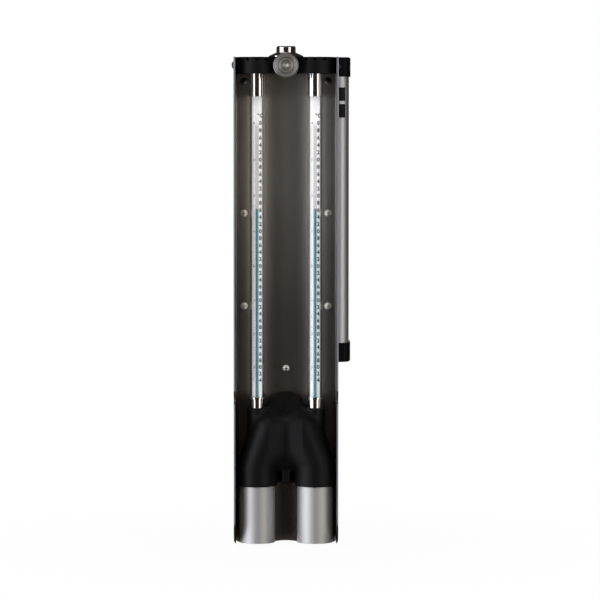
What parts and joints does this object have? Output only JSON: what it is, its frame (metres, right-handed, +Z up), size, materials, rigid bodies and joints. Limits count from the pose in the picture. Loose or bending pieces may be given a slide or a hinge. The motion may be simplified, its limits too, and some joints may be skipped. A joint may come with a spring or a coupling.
{
  "type": "aspirated psychrometer",
  "caption": "Tall steel channel holding dry and wet thermometers in tubular radiation shields, with a moulded air manifold and a slim blower casing behind.",
  "frame": {"origin": "mouth of the suspension thread, at the top of the stud's head", "axes": "+Z up along the suspension thread, +X to the reader's right, -Y towards the reader who faces the scales"},
  "size_m": [0.0947, 0.0817, 0.3956],
  "materials": {
    "steel_sheet": "brushed",
    "black_plastic": "fine matte grain",
    "grey_plastic": "matte",
    "key_plastic": "matte",
    "wheel_plastic": "matte",
    "screw_steel": "nickel plated",
    "turned_steel": "turned rings",
    "chrome": "polished",
    "clear_glass": "clear",
    "capillary_glass": "clear",
    "milk_glass": "opaque white",
    "teal_liquid": "coloured spirit",
    "black_rubber": "matte",
    "wick_cotton": "woven",
    "satin_aluminium": "bead blasted, satin",
    "bright_aluminium": "polished",
    "brass": "turned",
    "motor_metal": "plated can",
    "cell_jacket": "printed-free jacket",
    "contact_steel": "plated",
    "wire_jacket": "insulated lead"
  },
  "bodies": {
    "frame": {"channel": "steel_sheet", "top_bracket": "black_plastic", "bracket_screws": "screw_steel", "suspension_stud": "chrome", "ferrule_top_left": "chrome", "ferrule_top_right": "chrome", "sheath_left": "clear_glass", "sheath_right": "clear_glass", "scale_left": "milk_glass", "scale_right": "milk_glass", "capillary_left": "capillary_glass", "capillary_right": "capillary_glass", "liquid_left": "teal_liquid", "liquid_right": "teal_liquid", "ferrule_bottom_left": "chrome", "ferrule_bottom_right": "chrome", "collar_seal_left": "black_rubber", "collar_seal_right": "black_rubber", "wick": "wick_cotton", "manifold": "black_plastic", "manifold_screws": "screw_steel", "socket_ring_left": "black_rubber", "socket_ring_right": "black_rubber", "plate_screws": "screw_steel", "screw_inserts": "brass", "casing": "satin_aluminium", "top_cap": "black_plastic", "bottom_cap": "black_plastic", "rear_duct": "black_plastic", "air_duct": "grey_plastic", "blower_cover": "grey_plastic", "blower_housing": "grey_plastic", "motor": "motor_metal", "motor_bearing": "brass", "battery_holder": "grey_plastic", "cell_1": "cell_jacket", "cell_2": "cell_jacket", "cell_3": "cell_jacket", "cell_4": "cell_jacket", "battery_contacts": "contact_steel", "switch_block": "grey_plastic", "wiring": "wire_jacket"},
    "thumbscrew": {"thumbscrew": "turned_steel"},
    "left_shield": {"shield_outer_left": "satin_aluminium", "shield_inner_left": "bright_aluminium", "shield_spacer_left": "grey_plastic"},
    "right_shield": {"shield_outer_right": "satin_aluminium", "shield_inner_right": "bright_aluminium", "shield_spacer_right": "grey_plastic"},
    "blower_wheel": {"impeller": "wheel_plastic", "impeller_shaft": "screw_steel"},
    "key_on": {"key_on": "key_plastic"},
    "key_off": {"key_off": "key_plastic"},
    "battery_door": {"battery_door": "black_plastic"}
  },
  "joints": [
    {"name": "thumbscrew_turn", "type": "hinge", "parent": "frame", "child": "thumbscrew", "pos_m": [0, -0.018, -0.0153], "axis": [0, -1, 0], "range_deg": [0, 360]},
    {"name": "left_shield_pull", "type": "slide", "parent": "frame", "child": "left_shield", "axis": [0, 0, -1], "range_m": [0, 0.06]},
    {"name": "right_shield_pull", "type": "slide", "parent": "frame", "child": "right_shield", "axis": [0, 0, -1], "range_m": [0, 0.06]},
    {"name": "blower_spin", "type": "hinge", "parent": "frame", "child": "blower_wheel", "pos_m": [0, 0.04, -0.0697], "axis": [0, 1, 0], "continuous": true},
    {"name": "key_on_press", "type": "slide", "parent": "frame", "child": "key_on", "axis": [0, 1, 0], "range_m": [0, 0.0012], "stiffness_N_per_m": 600, "springref_m": -0.0008},
    {"name": "key_off_press", "type": "slide", "parent": "frame", "child": "key_off", "axis": [0, 1, 0], "range_m": [0, 0.0012], "stiffness_N_per_m": 600, "springref_m": -0.0008},
    {"name": "battery_door_slide", "type": "slide", "parent": "frame", "child": "battery_door", "axis": [0, 0, -1], "range_m": [0, 0.06]}
  ]
}
